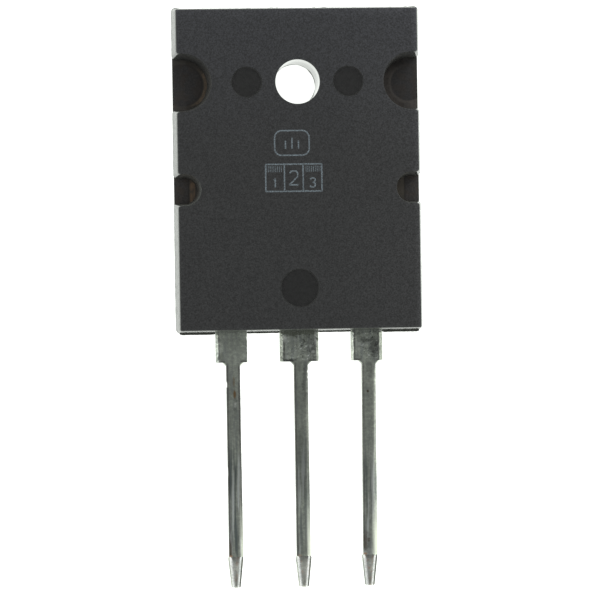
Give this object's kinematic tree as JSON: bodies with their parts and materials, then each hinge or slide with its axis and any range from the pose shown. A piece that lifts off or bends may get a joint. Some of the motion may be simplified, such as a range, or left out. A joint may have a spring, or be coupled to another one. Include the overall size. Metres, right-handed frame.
{
  "type": "power transistor",
  "caption": "Flat moulded plastic power transistor with a copper mounting plate, a screw hole, side notches and flat tinned leads.",
  "frame": {"origin": "axis of the mounting hole, on the mounting face of the copper plate", "axes": "+Z out of the printed face, +Y toward the hole end of the body, leads point along -Y, +X to the right when the printed face is seen with the leads down"},
  "size_m": [0.02, 0.0468, 0.005],
  "materials": {
    "moulding_epoxy": "fine matte moulded epoxy",
    "tinned_copper": "matte tin plate over copper",
    "soft_solder": "dull",
    "silicon": "polished",
    "bond_wire": "satin"
  },
  "bodies": {
    "root": {"epoxy_body": "moulding_epoxy", "collector_header": "tinned_copper", "base_lead": "tinned_copper", "emitter_lead": "tinned_copper", "die_attach_solder": "soft_solder", "silicon_die": "silicon", "base_bond_wire": "bond_wire", "emitter_bond_wire_1": "bond_wire", "emitter_bond_wire_2": "bond_wire"}
  },
  "joints": []
}
